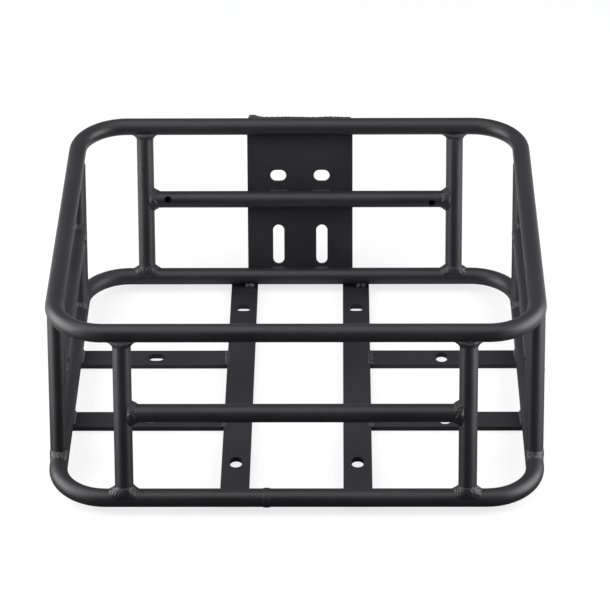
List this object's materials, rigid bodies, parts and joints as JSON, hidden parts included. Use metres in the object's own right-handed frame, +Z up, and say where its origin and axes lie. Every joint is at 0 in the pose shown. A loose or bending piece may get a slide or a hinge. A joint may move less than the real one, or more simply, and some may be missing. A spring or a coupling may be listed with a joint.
{
  "type": "handlebar basket",
  "caption": "Open welded tube basket with round-cornered rims, mid rails, a flat-bar floor and a slotted mounting plate on its leaning back wall.",
  "frame": {"origin": "under the middle of the overall box, on the plane of the floor straps' underside", "axes": "+Z up with the floor level, +X across the basket, +Y towards the bicycle, where the mounting plate is"},
  "size_m": [0.3444, 0.3329, 0.1257],
  "materials": {
    "powder_coat": "satin"
  },
  "bodies": {
    "root": {"top_rim": "powder_coat", "bottom_rim": "powder_coat", "front_wall_left_post": "powder_coat", "front_wall_right_post": "powder_coat", "front_wall_mid_rail": "powder_coat", "front_wall_welds": "powder_coat", "back_wall_left_post": "powder_coat", "back_wall_right_post": "powder_coat", "back_wall_mid_rail": "powder_coat", "back_wall_welds": "powder_coat", "left_wall_front_post": "powder_coat", "left_wall_back_post": "powder_coat", "left_wall_mid_rail": "powder_coat", "left_wall_welds": "powder_coat", "right_wall_front_post": "powder_coat", "right_wall_back_post": "powder_coat", "right_wall_mid_rail": "powder_coat", "right_wall_welds": "powder_coat", "mounting_plate": "powder_coat", "plate_welds": "powder_coat", "left_floor_strap": "powder_coat", "right_floor_strap": "powder_coat", "floor_strap_welds": "powder_coat", "left_front_cross_strap": "powder_coat", "left_back_cross_strap": "powder_coat", "right_front_cross_strap": "powder_coat", "right_back_cross_strap": "powder_coat", "cross_strap_welds": "powder_coat", "bottom_rim_seam_weld": "powder_coat"}
  },
  "joints": []
}
